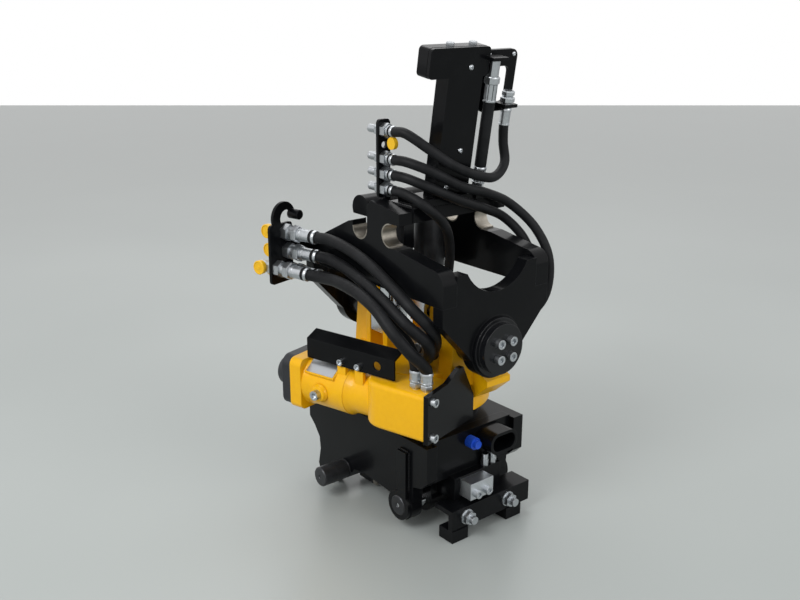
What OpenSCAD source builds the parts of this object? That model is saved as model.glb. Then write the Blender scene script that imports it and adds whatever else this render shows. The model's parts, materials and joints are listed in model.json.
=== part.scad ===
// Excavator tilt rotator: lower quick hitch, worm-driven rotor, tilting upper frame and hose tower.
// Origin: rotor axis on the floor. X runs along the tilt axis to the front, Z is up. Millimetres.

/* [Tilt axis] */
// Height of the tilt axis above the floor
tilt_z = 380; // [378:1:386]
// Diameter of a tilt pin
tilt_pin_d = 56; // [50:1:60]
// Diameter of a tilt pin's end disc
tilt_disc_d = 96; // [90:1:104]
// Running clearance on the radius of a tilt pin
tilt_fit = 0.05; // [0.03:0.01:0.1]

/* [Upper frame] */
// Middle of a side plate from the centre plane
plate_y = 114; // [112:1:118]
// Thickness of a side plate
plate_t = 32; // [26:1:34]
// Front face of the front plate from the rotor axis
front_x = 210; // [206:1:214]
// Thickness of the front and rear plates
end_plate_t = 26; // [22:1:27]
// Diameter of the carrier pin that a jaw takes
jaw_d = 40; // [38:1:42]
// Distance between the front jaw and the rear notch
jaw_pitch = 88; // [84:1:94]
// Height of the jaw centre above the tilt axis
jaw_h = 198; // [194:1:202]
// Thickness of a bare steel jaw liner
liner_t = 2.5; // [2:0.5:3]

/* [Rotor] */
// Height of the worm axis above the floor
worm_z = 262; // [260:1:264]
// Distance from the rotor axis to the worm axis
worm_a = 141; // [140:0.5:143]
// Turn of the worm axis about the rotor axis
worm_skew = 15; // [14:1:16]
// Number of teeth on the worm wheel
wheel_teeth = 36; // [30:6:42]
// Outer radius of the worm thread
thread_r = 28; // [27:0.5:29]
// Depth of the worm thread
thread_h = 8; // [7:0.5:8]
// Diameter of the rotor hub's journal
hub_d = 120; // [110:1:126]
// Radius of the gear housing around the wheel
housing_r = 138; // [136:1:140]
// Running clearance on the radius of the hub and the worm
bearing_fit = 0.05; // [0.03:0.01:0.1]

/* [Lower hitch] */
// Diameter of the two tool pins
pin_d = 40; // [38:1:41]
// Place of the front pin along the hitch
front_pin_x = 92; // [88:1:94]
// Place of the rear pin along the hitch
rear_pin_x = -96; // [-98:1:-92]
// Height of the tool pins above the floor
pin_z = 50; // [48:1:54]
// Length of the rear pin
rear_pin_l = 372; // [340:2:390]
// Length of the front pin
front_pin_l = 268; // [262:2:276]
// Outer face of a hitch side plate from the centre plane
hitch_y = 125; // [122:1:128]
// Thickness of a hitch side plate
hitch_t = 25; // [20:1:28]
// Travel of the lock wedges
lock_travel = 45; // [40:1:46]

/* [Tilt cylinders] */
// Lever arm of a tilt cylinder about the tilt axis
lever_y = 60; // [56:1:62]
// Diameter of a cylinder barrel
barrel_d = 62; // [54:1:64]
// Diameter of a cylinder rod
rod_d = 32; // [28:1:36]
// Place of the tilt cylinders along the tilt axis
cylinder_x = -40; // [-44:1:-36]

/* [Hose tower] */
// Forward lean of the tower in degrees
tower_lean = 9; // [8:1:10]
// Height of the tower along its front plate
tower_h = 281; // [276:1:286]
// Sheet thickness of the tower
tower_t = 8; // [6:1:10]

/* [Hoses] */
// Outer diameter of the hydraulic hoses
hose_d = 22; // [20:1:23]
// Outer diameter of the small riser hoses
small_hose_d = 18; // [16:1:19]

/* [Hidden] */
$fn = 64;
// The clearance that parts which never touch keep
gap = 0.5;
// Places of the plates' faces
plate_in = plate_y - plate_t / 2;
plate_out = plate_y + plate_t / 2;
front_in = front_x - end_plate_t;
jaw_x = 62;
notch_x = jaw_x - jaw_pitch;
jaw_z = tilt_z + jaw_h;
jaw_r = jaw_d / 2 + liner_t;
arch_z = tilt_z + 96;
// Places on the housing
flange_z = 205;
housing_low = flange_z + 18;
housing_top = worm_z + 52;
ear_in = 112;
ear_out = 148;
bush_t = 6;
ear_bore = tilt_pin_d + 2 * tilt_fit + 2 * bush_t;
disc_front = front_x + 20;
ear_r = 48;
// The wheel's teeth and the thread's lead
pitch_r = worm_a - thread_r + thread_h / 2;
thread_lead = 2 * PI * pitch_r / wheel_teeth;
lead_angle = atan(thread_lead / (2 * PI * (thread_r - thread_h / 2)));
thread_turns = 3;
thread_l = thread_turns * thread_lead;
wheel_low = worm_z - 18;
wheel_high = worm_z + 18;
journal_d = 36;
guard_pads = [-64, -22];
tube_r = 50;
neck_r = 43;
motor_r = 34;
motor_t0 = sqrt(pow(housing_r + 3.1, 2) - pow(worm_a - motor_r, 2));
motor_t1 = motor_t0 + 46;
cover_x = 38;
// The grease nipples stand clear of the housing's round
nipple_t = max(56, sqrt(max(0, pow(housing_r + 6, 2) - worm_a * worm_a)));
cover_t1 = motor_t1 + 4;
cover_low = -40;
cover_high = 50;
cover_wall = 4;
cover_out = 54;
cover_in = 44;
// The hitch's places
hitch_in = hitch_y - hitch_t;
arm_out = hitch_y + 9;
hub_in = 74;
lever_pin_d = 24;
rod_y = lever_y - 7;
eye_slot = 15;
beam_z = 628;
barrel_top = 590;
lock_x = rear_pin_x + 36 + lock_travel + 4;
wedge_z = 6;
wedge_gap = 0.4;
hub_top = wheel_high + 12;
bearing_h = 12;
swivel_z = 334;
port_r = 58;
motor_ports = [motor_t0 + 12, motor_t0 + 36];
port_y = -26;
port_z = 84;
rear_place = [-front_x - 5, -184, 0];
rear_turn = 15;
ferrule_l = 88;
strip_x = 2;
riser_x = strip_x + 34;
riser_y = -98;
loop_y = 104;
loop_z = tower_h - 141;
shelf_z = tower_h - 23;
riser_heights = [652, 680, 708, 758];
rear_ports = [[6, 541], [10, 502], [-20, 472], [14, 462]];
// Points that the hoses pass between their fittings
route_swivel_upper = [
    [-100, -147, 541], [-40, -146, 535], [30, -146, 517], [95, -149, 492], [150, -146, 463],
    [172, -122, 428], [144, -88, 386], [102, -62, 350], [80, -38, 335]
];
route_swivel_lower = [
    [-100, -146, 502], [-40, -153, 499], [30, -162, 488], [95, -167, 469], [150, -160, 438],
    [168, -128, 402], [140, -102, 362], [104, -92, 346], [74, -82, 335]
];
route_motor_upper = [
    [-90, -174, 473], [-30, -179, 480], [35, -185, 477], [95, -188, 461], [140, -186, 430],
    [168, -170, 396], [172, -144, 368]
];
route_motor_lower = [
    [-90, -146, 462], [-30, -150, 460], [35, -156, 454], [90, -156, 438], [128, -150, 408],
    [143, -140, 376]
];
route_loop = [
    [66, -94, 757], [98, -66, 730], [118, -30, 702], [124, 20, 680], [120, 70, 670],
    [110, 106, 690], [105, 106, 730]
];
route_riser_top = [
    [72, -96, 708], [106, -66, 692], [120, -10, 662], [114, 60, 640], [116, 120, 612], [146, 160, 564],
    [178, 167, 506], [180, 154, 434], [156, 108, 386], [108, 61, 349], [78, 36, 335]
];
route_riser_middle = [
    [72, -96, 679], [106, -66, 662], [118, -6, 634], [110, 60, 610], [106, 116, 584], [130, 148, 540],
    [158, 150, 480], [146, 138, 412], [108, 110, 358], [74, 86, 335]
];
route_riser_low = [
    [76, -102, 652], [112, -88, 634], [114, -44, 594], [96, -14, 540], [76, 0, 470], [82, 0, 400],
    [92, 0, 356], [78, 0, 336]
];

// Small helpers

// Cylinder along X from x0 to x1
module along_x(x0, x1, d) {
    translate([x0, 0, 0]) rotate([0, 90, 0]) cylinder(h = x1 - x0, d = d);
}

// Cylinder along Y from y0 to y1
module along_y(y0, y1, d) {
    translate([0, y1, 0]) rotate([90, 0, 0]) cylinder(h = y1 - y0, d = d);
}

// Profile in X and Z, made thick along Y from y0 to y1
module thick_y(y0, y1) {
    translate([0, y1, 0]) rotate([90, 0, 0]) linear_extrude(y1 - y0) children();
}

// Profile in Y and Z, made thick along X from x0 to x1
module thick_x(x0, x1) {
    translate([x0, 0, 0]) rotate([90, 0, 90]) linear_extrude(x1 - x0) children();
}

// Rectangle with round corners between two corner points
module round_rect(x0, y0, x1, y1, r) {
    translate([x0 + r, y0]) square([x1 - x0 - 2 * r, y1 - y0]);
    translate([x0, y0 + r]) square([x1 - x0, y1 - y0 - 2 * r]);
    for (x = [x0 + r, x1 - r], y = [y0 + r, y1 - r])
        translate([x, y]) circle(r);
}

// Both sides of the centre plane
module both_sides() {
    children();
    mirror([0, 1, 0]) children();
}

// Front and rear of the part
module both_ends() {
    children();
    mirror([1, 0, 0]) children();
}

// Space of the worm: X along its axis, Y inward to the rotor, Z up from the axis
module worm_space() {
    translate([0, 0, worm_z]) rotate([0, 0, worm_skew]) translate([0, -worm_a, 0]) children();
}

// Socket head screw along +X, its seat at the origin
module socket_screw(d, grip) {
    difference() {
        along_x(0, d, 1.6 * d);
        translate([d / 2, 0, 0]) rotate([0, 90, 0]) cylinder(h = d, d = d, $fn = 6);
    }
    if (grip > 0)
        along_x(-grip, 0, d);
}

// Hexagon nut or screw head along +X, its seat at the origin
module hex_head(flats, h) {
    rotate([0, 90, 0]) cylinder(h = h, d = flats / cos(30), $fn = 6);
}

// Lower hitch

// Outline of a hitch side plate
module hitch_outline() {
    difference() {
        polygon([
            [-196, flange_z - 12], [-222, 150], [-222, 126], [-204, 110], [-187, 88], [-184, 62], [-192, 26],
            [-184, 0], [-148, 0], [rear_pin_x - 24, 14], [rear_pin_x - 24, pin_z], [rear_pin_x + 26, pin_z],
            [rear_pin_x + 32, 60], [-29, 66], [front_pin_x - 34, 60], [front_pin_x - 30, pin_z],
            [front_pin_x + 30, pin_z], [front_pin_x + 34, 100], [150, 106], [166, 122],
            [166, flange_z - 12]
        ]);
        translate([rear_pin_x, pin_z]) circle(d = pin_d);
        translate([rear_pin_x - pin_d / 2 + 1, -1]) square([pin_d - 2, pin_z]);
    }
    translate([front_pin_x, pin_z]) circle(r = 32);
}

module hitch_frame() {
    color("#1b1c1e") {
        difference() {
            union() {
                both_sides() thick_y(hitch_in, hitch_y) hitch_outline();
                // Outer arms and inner hubs that hold the front pin
                both_sides() translate([front_pin_x, 0, pin_z]) along_y(hitch_y, arm_out, 60);
                both_sides() thick_y(hitch_y, arm_out)
                    translate([front_pin_x - 4, pin_z]) square([26, 118]);
                translate([front_pin_x, 0, pin_z]) along_y(-hub_in, hub_in, 60);
                translate([front_pin_x - 27, -hub_in, pin_z]) cube([54, 2 * hub_in, 110]);
                // Webs between the side plates and the deck under the rotor
                translate([-176, -hitch_in, 96]) cube([22, 2 * hitch_in, 100]);
                translate([132, -hitch_in, 110]) cube([22, 2 * hitch_in, 86]);
                translate([-196, -hitch_in, flange_z - 30]) cube([350, 2 * hitch_in, 18]);
                translate([0, 0, flange_z - 12]) cylinder(h = 12, d = 236);
                // Block that carries the foot bar
                translate([front_pin_x + 20, -60, 66]) cube([60, 120, 48]);
            }
            translate([front_pin_x, 0, pin_z]) along_y(-arm_out - 1, arm_out + 1, pin_d);
            translate([0, 0, flange_z - 31]) cylinder(h = 32, d = hub_d - 20);
            // Seat of the lock cylinder
            translate([0, 0, pin_z + 57]) along_x(front_pin_x - 31, front_pin_x + 26, 46);
        }
    }
}

module rear_pin() {
    color("#303235") translate([rear_pin_x, 0, pin_z]) {
        along_y(-hitch_y - 1, hitch_y + 1, pin_d);
        // Free ends beyond a turned groove
        along_y(-hitch_y - 10, hitch_y + 10, pin_d - 4);
        both_sides() along_y(hitch_y + 5, rear_pin_l / 2, pin_d);
    }
}

module front_pin() {
    color("#c9cdd1") translate([front_pin_x, 0, pin_z]) along_y(-front_pin_l / 2, front_pin_l / 2, pin_d);
}

module rotor_hub() {
    color("#5a5e63") {
        difference() {
            union() {
                translate([0, 0, flange_z]) cylinder(h = 10, d = 216);
                translate([0, 0, flange_z + 10]) cylinder(h = hub_top - flange_z - 10, d = hub_d);
            }
            translate([0, 0, flange_z - 1]) cylinder(h = 140, d = 60);
        }
    }
}

module worm_wheel() {
    tooth_w = 0.34 * thread_lead;
    tip_r = worm_a - thread_r + thread_h - 3.5;
    root_r = worm_a - thread_r - 2.5;
    color("#b08a46") {
        difference() {
            union() {
                translate([0, 0, wheel_low]) cylinder(h = wheel_high - wheel_low, r = root_r);
                for (i = [0 : wheel_teeth - 1])
                    rotate([0, 0, worm_skew - 90 + (i + 0.5) * 360 / wheel_teeth])
                        translate([root_r - 3, 0, worm_z]) rotate([-lead_angle, 0, 0])
                            translate([0, -tooth_w / 2, -16]) cube([tip_r - root_r + 3, tooth_w, 32]);
            }
            translate([0, 0, wheel_low - 1]) cylinder(h = wheel_high - wheel_low + 2, d = hub_d);
        }
    }
}

module swivel_core() {
    color("#8b9096") {
        translate([0, 0, flange_z - 10]) cylinder(h = housing_top - flange_z + 40, d = 52);
        translate([0, 0, flange_z - 10]) cylinder(h = 10, d = 90);
    }
}

module lock_cylinder() {
    color("#26282b") translate([0, 0, pin_z + 57]) difference() {
        along_x(lock_x, front_pin_x + 26, 46);
        along_x(lock_x - 1, front_pin_x + 10, 24 + 2 * bearing_fit);
    }
}

module lock_yoke() {
    color("#8b9096") {
        translate([0, 0, pin_z + 57]) along_x(rear_pin_x + 36, lock_x + 40, 24);
        translate([rear_pin_x + 24, -70, wedge_z]) cube([12, 140, 12]);
        translate([rear_pin_x + 24, -14, wedge_z]) cube([12, 28, pin_z + 66]);
    }
}

module lock_wedges() {
    color("#3c3f43") both_sides() translate([rear_pin_x - 22, 42, wedge_z])
        cube([46, 28, pin_z - pin_d / 2 - wedge_gap - wedge_z]);
}

module valve_block() {
    color("#9aa0a6") {
        translate([front_pin_x + 80, -46, 76]) cube([30, 58, 34]);
    }
}

module lock_fittings() {
    color("#b9bfc4") {
        for (y = [26, 46]) {
            translate([front_pin_x + 71, y, 114]) cylinder(h = 12, d = 17, $fn = 6);
            translate([front_pin_x + 71, y, 126]) cylinder(h = 12, d = 13);
        }
    }
}

module foot_bar() {
    color("#202124") {
        difference() {
            union() {
                translate([front_pin_x + 60, -91, 56]) cube([48, 205, 10]);
                translate([front_pin_x + 98, -91, 24]) cube([10, 205, 42]);
            }
            for (y = [-54, 54])
                translate([0, y, 46]) along_x(front_pin_x + 90, front_pin_x + 120, 16);
        }
    }
}

module foot_blocks() {
    color("#17181a") both_sides()
        translate([front_pin_x + 72, 51, 0]) cube([38, 40, 24]);
}

module guide_tube() {
    color("#17181a") thick_x(154, 198) difference() {
        round_rect(8, 148, 78, 192, 20);
        round_rect(14, 154, 72, 186, 15);
    }
}

module port_plug() {
    color("#2456c8") translate([0, -8, 172]) {
        along_x(154, 172, 24);
        along_x(172, 180, 16);
    }
}

module hitch_bolts() {
    color("#c4c9cd") {
        // Bolts of the foot bar with their washers and nuts
        for (y = [-54, 54]) translate([front_pin_x + 108, y, 46]) {
            along_x(0, 3, 30);
            translate([3, 0, 0]) hex_head(24, 10);
            along_x(13, 24, 16);
            along_x(-10, 0, 16);
        }
        // Screws of the valve block
        for (y = [-32, -6]) translate([front_pin_x + 110, y, 88]) socket_screw(10, 0);
        // Ring of screws in the hub's flange
        for (i = [0 : 11]) rotate([0, 0, 30 * i + 15]) translate([92, 0, flange_z + 10])
            cylinder(h = 6, d = 14);
    }
}

// Rotor and gear housing

// Ear that carries a tilt pin, drawn for the front
module housing_ear() {
    difference() {
        thick_x(ear_in, ear_out) {
            translate([0, tilt_z]) circle(r = ear_r);
            polygon([
                [-ear_r, tilt_z], [-ear_r - 8, housing_top - 30], [ear_r + 8, housing_top - 30], [ear_r, tilt_z]
            ]);
        }
        translate([0, 0, tilt_z]) along_x(ear_in - 1, ear_out + 1, ear_bore);
    }
}

module gear_housing() {
    color("#f2b01e") difference() {
        union() {
            translate([0, 0, housing_low]) cylinder(h = housing_top - housing_low, r = housing_r);
            housing_ear();
            mirror([1, 0, 0]) housing_ear();
            // Wedge foot under the front ear
            thick_y(2, 62) polygon([
                [100, housing_top - 4], [168, housing_top - 4], [188, housing_top - 12],
                [188, housing_top - 24], [150, housing_low + 34], [100, housing_low + 30]
            ]);
            // Lugs of the tilt levers
            for (x = [cylinder_x - 34, cylinder_x + 20]) both_sides()
                thick_x(x, x + 14) {
                    translate([lever_y, tilt_z]) circle(r = 22);
                    translate([lever_y - 22, housing_top - 6]) square([44, tilt_z - housing_top + 6]);
                }
            worm_space() {
                along_x(-166, -50, 2 * tube_r);
                along_x(-52, motor_t0, 2 * neck_r);
                thick_x(-178, -150) round_rect(-54, -52, 54, 52, 14);
                // Boss of the level plug
                translate([-104, 0, -4]) along_y(-tube_r - 8, 0, 30);
                // Pads of the guard
                for (x = guard_pads) translate([x - 10, -33, 10]) cube([20, 8, 44]);
                // Pad of the label plate
                rotate([35, 0, 0]) translate([-146, -22, 0]) cube([72, 44, tube_r + 1]);
            }
        }
        // Room for the wheel, the hub and the worm
        translate([0, 0, wheel_low - 4]) cylinder(h = wheel_high - wheel_low + 8, r = worm_a - 19);
        translate([0, 0, housing_low - 1]) cylinder(h = hub_top + 4 - housing_low + 1, d = hub_d + 24);
        translate([0, 0, housing_low]) cylinder(h = 200, d = 56);
        worm_space() along_x(-179, motor_t0 + 1, 2 * thread_r + 6);
        for (x = [cylinder_x - 35, cylinder_x + 19]) both_sides()
            translate([0, lever_y, tilt_z]) along_x(x, x + 16, lever_pin_d);
    }
}

module hub_bearing() {
    color("#8b9096") for (z = [housing_low + 7, wheel_high + 3])
        translate([0, 0, z]) difference() {
            cylinder(h = bearing_h, d = hub_d + 24);
            translate([0, 0, -1]) cylinder(h = bearing_h + 2, d = hub_d + 2 * bearing_fit);
        }
}

module hub_seal() {
    color("#141414") translate([0, 0, housing_low]) difference() {
        cylinder(h = 6, d = hub_d + 24);
        translate([0, 0, -1]) cylinder(h = 8, d = hub_d + 2 * bearing_fit);
    }
}

module swivel_housing() {
    color("#8b9096") difference() {
        translate([0, 0, housing_top]) cylinder(h = 34, d = 70);
        translate([0, 0, housing_top - 1]) cylinder(h = 36, d = 52 + 2 * bearing_fit);
    }
}

module lever_pins() {
    color("#c9cdd1") both_sides() translate([0, lever_y, tilt_z])
        along_x(cylinder_x - 38, cylinder_x + 38, lever_pin_d);
}

module tilt_bushes() {
    color("#b08a46") both_ends() translate([0, 0, tilt_z]) difference() {
        along_x(ear_in, ear_out, ear_bore);
        along_x(ear_in - 1, ear_out + 1, tilt_pin_d + 2 * tilt_fit);
    }
}

module worm_bearings() {
    color("#8b9096") worm_space() for (x = [-140, 70]) difference() {
        along_x(x, x + 20, 2 * thread_r + 6);
        along_x(x - 1, x + 21, journal_d + 2 * bearing_fit);
    }
}

module bearing_cap() {
    color("#1d1e20") worm_space() {
        thick_x(-200, -178) {
            round_rect(-52, -52, 52, 52, 20);
        }
        along_x(-216, -200, 60);
    }
}

module worm_motor() {
    color("#3c3f43") worm_space() difference() {
        union() {
            along_x(motor_t0, motor_t1, 2 * motor_r);
            translate([motor_t0, port_y - 9, 0]) cube([motor_t1 - motor_t0, 18, 40]);
        }
        along_x(motor_t0 - 1, motor_t0 + 20, journal_d + 1);
    }
}

// Plan outline of the motor cover, grown or shrunk by an edge distance
module cover_plan(edge) {
    translate([cover_x, -cover_out - edge]) square([cover_t1 - cover_x, cover_out + cover_in + 2 * edge]);
    translate([cover_x, -8]) circle(r = 46 + edge);
}

module motor_cover() {
    color("#f2b01e") difference() {
        worm_space() difference() {
            translate([0, 0, cover_low]) linear_extrude(cover_high - cover_low) cover_plan(0);
            translate([0, 0, cover_low + cover_wall])
                linear_extrude(cover_high - cover_low - 2 * cover_wall) cover_plan(-cover_wall);
            translate([cover_t1 - 5, cover_wall - cover_out, cover_low + cover_wall])
                cube([10, cover_out + cover_in - 2 * cover_wall, cover_high - cover_low - 2 * cover_wall]);
            along_x(-60, motor_t0, 2 * (neck_r + gap));
            // Slot in the top for the hoses
            translate([motor_t0, port_y - 11, cover_high - 10]) cube([cover_t1 - motor_t0 - 2, 22, 20]);
        }
        translate([0, 0, housing_low - 10]) cylinder(h = 200, r = housing_r + gap);
    }
}

module motor_end_plate() {
    color("#1b1c1e") worm_space() thick_x(cover_t1, cover_t1 + 10)
        polygon([
            [-56, cover_low], [-56, 53], [6, 58], [46, 76], [58, 76], [96, 8], [96, cover_low]
        ]);
}

module housing_bolts() {
    color("#c4c9cd") {
        worm_space() for (z = [-28, 41]) translate([cover_t1 + 10, -44, z]) socket_screw(10, 0);
        worm_space() for (x = guard_pads) translate([x, -32, 64]) rotate([0, 0, -90]) socket_screw(8, 0);
    }
}

module housing_plugs() {
    color("#c4c9cd") worm_space() {
        translate([-104, -tube_r - 8, -4]) rotate([0, 0, -90]) socket_screw(12, 0);
        for (x = [-nipple_t - 42, -nipple_t]) translate([x, 0, tube_r]) {
            cylinder(h = 8, d = 9);
            translate([0, 0, 8]) cylinder(h = 7, d = 6);
        }
    }
}

module label_plate() {
    color("#d4d7da") worm_space() rotate([35, 0, 0])
        translate([-143, -19, tube_r + 1]) cube([66, 38, 1.2]);
}

module guards() {
    color("#1b1c1e") {
        worm_space() difference() {
            thick_x(-150, 60) polygon([
                [-32, 54], [-32, 94], [-4, 106], [-4, 102], [-28, 91], [-28, 54]
            ]);
            translate([20, 0, 74]) along_y(-40, 0, 18);
        }
    }
}

// Port of the swivel at an angle about the rotor axis
module swivel_port(angle) {
    rotate([0, 0, angle]) translate([0, 0, swivel_z]) {
        along_x(33, port_r - 8, 12);
        along_x(port_r - 8, port_r, 20);
    }
}

module housing_fittings() {
    color("#c4c9cd") {
        worm_space() for (x = motor_ports) translate([x, port_y, 40]) {
            cylinder(h = 14, d = 16);
            translate([0, 0, 14]) cylinder(h = 10, d = 20, $fn = 6);
            translate([0, 0, 24]) cylinder(h = port_z - 64, d = 19);
        }
        for (angle = [-50, -25, 0, 25, 50]) difference() {
            swivel_port(angle);
            translate([0, 0, housing_top]) cylinder(h = 34, d = 70);
        }
    }
}

module worm_shaft() {
    color("#8b9096") worm_space() {
        along_x(-160, -thread_l / 2, journal_d);
        along_x(thread_l / 2, motor_t0 + 18, journal_d);
    }
}

module worm_thread() {
    color("#8b9096") worm_space() rotate([0, 90, 0]) rotate([0, 0, 90 + 180 * thread_turns])
        translate([0, 0, -thread_l / 2])
            linear_extrude(thread_l, twist = -360 * thread_turns, slices = 10 * thread_turns, $fn = 14)
                translate([thread_h / 2, 0]) circle(r = thread_r - thread_h / 2);
}

// Upper frame

// Outline of a side plate
module side_outline() {
    difference() {
        polygon([
            [front_x, arch_z], [front_x, 541], [front_x - 28, 541], [jaw_x + 24, jaw_z - jaw_r],
            [jaw_x, jaw_z - jaw_r], [jaw_x, jaw_z + jaw_r], [jaw_x + 28, jaw_z + jaw_r],
            [jaw_x + 28, 622], [notch_x + 34, 634], [notch_x + jaw_r, 622], [notch_x + jaw_r, jaw_z],
            [notch_x - jaw_r, jaw_z], [notch_x - jaw_r, jaw_z + 10], [-62, 584], [-140, 546],
            [-front_x - 4, 498], [-front_x - 4, arch_z]
        ]);
        translate([jaw_x, jaw_z]) circle(r = jaw_r);
        translate([notch_x, jaw_z]) circle(r = jaw_r);
        // Rounds of the front corner
        translate([front_x - 28, 513]) difference() {
            square(60);
            circle(r = 28);
        }
    }
}

module side_plate_near() {
    color("#1b1c1e") thick_y(-plate_out, -plate_in) side_outline();
}

module side_plate_far() {
    color("#1b1c1e") thick_y(plate_in, plate_out) side_outline();
}

// Outline of the front and rear plates with a top edge of its own
module end_outline(top) {
    difference() {
        union() {
            translate([0, tilt_z]) circle(r = 60);
            polygon([
                [-58, tilt_z - 16], [-plate_out, tilt_z + 62], [-plate_out, arch_z], [-plate_in, arch_z],
                [-plate_in, top], [plate_in, top], [plate_in, arch_z], [plate_out, arch_z],
                [plate_out, tilt_z + 62], [58, tilt_z - 16]
            ]);
        }
        translate([0, tilt_z]) circle(d = tilt_pin_d);
    }
}

module front_plate() {
    color("#1b1c1e") difference() {
        thick_x(front_in, front_x) end_outline(530);
        thick_x(front_in - 1, front_x + 1) translate([0, 570]) circle(r = 84);
    }
}

module rear_plate() {
    color("#1b1c1e") thick_x(-front_x, -front_in) end_outline(496);
}

module cross_beams() {
    color("#1b1c1e") {
        translate([8, -plate_in, 602]) cube([84, 2 * plate_in, 26]);
        // Rear member on the tilt cylinders, its upper rear edge round
        thick_y(-plate_in, plate_in) {
            translate([cylinder_x - 36, barrel_top]) square([46, 22]);
            intersection() {
                translate([cylinder_x - 26, barrel_top + 12]) circle(r = 26);
                translate([cylinder_x - 60, barrel_top]) square(60);
            }
        }
    }
}

// Half-round liner of bare steel, open to one side
module liner(turn) {
    rotate(turn) difference() {
        circle(r = jaw_r);
        circle(r = jaw_r - liner_t);
        translate([0, -50]) square([100, 100]);
    }
}

module jaw_liners() {
    color("#b5b1a8") both_sides() thick_y(plate_in, plate_out) {
        translate([jaw_x, jaw_z]) liner(0);
        translate([notch_x, jaw_z]) liner(90);
    }
}

module tilt_pins() {
    color("#1d1e20") both_ends() translate([0, 0, tilt_z]) {
        along_x(ear_in, front_x, tilt_pin_d);
        along_x(ear_out + 1, front_in, tilt_disc_d - 4);
        along_x(front_x, front_x + 6, tilt_disc_d + 16);
        along_x(front_x + 6, disc_front, tilt_disc_d);
    }
}

module frame_bolts() {
    color("#c4c9cd") both_ends() translate([disc_front, 0, tilt_z])
        for (y = [-15, 15], z = [-15, 15]) translate([0, y, z]) socket_screw(11, 0);
}

module cylinder_barrels() {
    color("#26282b") both_sides() translate([cylinder_x, rod_y, 0]) difference() {
        translate([0, 0, tilt_z + 92]) cylinder(h = barrel_top - tilt_z - 92, d = barrel_d);
        translate([0, 0, tilt_z + 91]) cylinder(h = 100, d = rod_d + 0.1);
    }
}

// Cylinder rod with its slotted eye, drawn for the far side
module cylinder_rod() {
    translate([cylinder_x, rod_y, 0]) difference() {
        union() {
            translate([0, 0, tilt_z + 24]) cylinder(h = 120, d = rod_d);
            translate([-18, -34, tilt_z - 22]) cube([36, 62, 48]);
        }
        translate([0, 7, tilt_z]) along_x(-20, 20, lever_pin_d + 3);
        translate([0, 7 - eye_slot, tilt_z]) along_x(-20, 20, lever_pin_d + 3);
        translate([-20, 7 - eye_slot, tilt_z - lever_pin_d / 2 - 1.5])
            cube([40, eye_slot, lever_pin_d + 3]);
    }
}

module rod_near() {
    color("#c9cdd1") mirror([0, 1, 0]) cylinder_rod();
}

module rod_far() {
    color("#c9cdd1") cylinder_rod();
}

// Space of the leaning tower: origin on the beam, X forward of the front sheet
module tower_space() {
    translate([78, 0, beam_z]) rotate([0, tower_lean, 0]) children();
}

module tower_column() {
    color("#1d1e20") {
        // Base flange on the beam
        translate([30, -84, beam_z]) cube([66, 168, 12]);
        tower_space() {
            thick_x(0, tower_t) {
                round_rect(-92, tower_h - 52, 46, tower_h, 8);
                translate([-46, 4]) square([80, tower_h - 14]);
            }
            // Returns of the folded sheet
            translate([-24, -46, 6]) cube([24, tower_t, tower_h - 58]);
            translate([-24, 26, 6]) cube([24, tower_t, tower_h - 58]);
            translate([-24, -92, tower_h - 44]) cube([24, tower_t, 36]);
            translate([-24, 38, tower_h - 44]) cube([24, tower_t, 36]);
            translate([-24, -84, tower_h - tower_t - 4]) cube([24, 122, tower_t + 4]);
            // Shelf of the upright hose's fitting
            translate([-6, 38, shelf_z]) cube([32, 36, 6]);
            // Foot block of the upright hose
            translate([-6, 44, 4]) cube([28, 28, 12]);
        }
    }
}

module tower_guard() {
    color("#1d1e20") tower_space() {
        thick_x(-14, -6) difference() {
            round_rect(46, tower_h - 122, 128, tower_h - 10, 14);
            round_rect(78, tower_h - 106, 112, tower_h - 40, 12);
        }
        // Tab of the loop hose's fitting
        difference() {
            translate([-8, loop_y - 16, loop_z + 30]) cube([28, 32, 6]);
            translate([8, loop_y, loop_z + 29]) cylinder(h = 8, d = 19);
        }
    }
}

module riser_bracket() {
    color("#1b1c1e") {
        // Strip that the bulkhead fittings pass through, on the rear face of the beam
        difference() {
            thick_x(strip_x, strip_x + 6) {
                round_rect(riser_y - 14, 636, riser_y + 14, 778, 8);
                translate([riser_y + 1, 604]) square([13, 60]);
            }
            translate([0, riser_y, 732]) along_x(strip_x - 1, strip_x + 7, 12);
        }
    }
}

// Space of the rear bracket: X along its hose fittings
module rear_space() {
    translate(rear_place) rotate([0, 0, rear_turn]) children();
}

module rear_bracket() {
    color("#1b1c1e") {
        rear_space() thick_x(0, 6) {
            round_rect(-38, 440, 26, 560, 8);
            translate([20, 484]) square([28, 40]);
            // Hook at the top
            difference() {
                translate([4, 570]) circle(r = 32);
                translate([10, 568]) circle(r = 17);
                translate([10, 540]) square([40, 28]);
            }
        }
        // Foot on the rear end of the near side plate
        translate([-front_x - 22, -plate_out - 18, 484]) cube([18, 40, 40]);
    }
}

// Hose fitting along +X: hexagon nut and crimped ferrule
module hose_fitting(nut_w, ferrule_d, l) {
    hex_head(nut_w, 14);
    along_x(14, l, ferrule_d);
}

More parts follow.
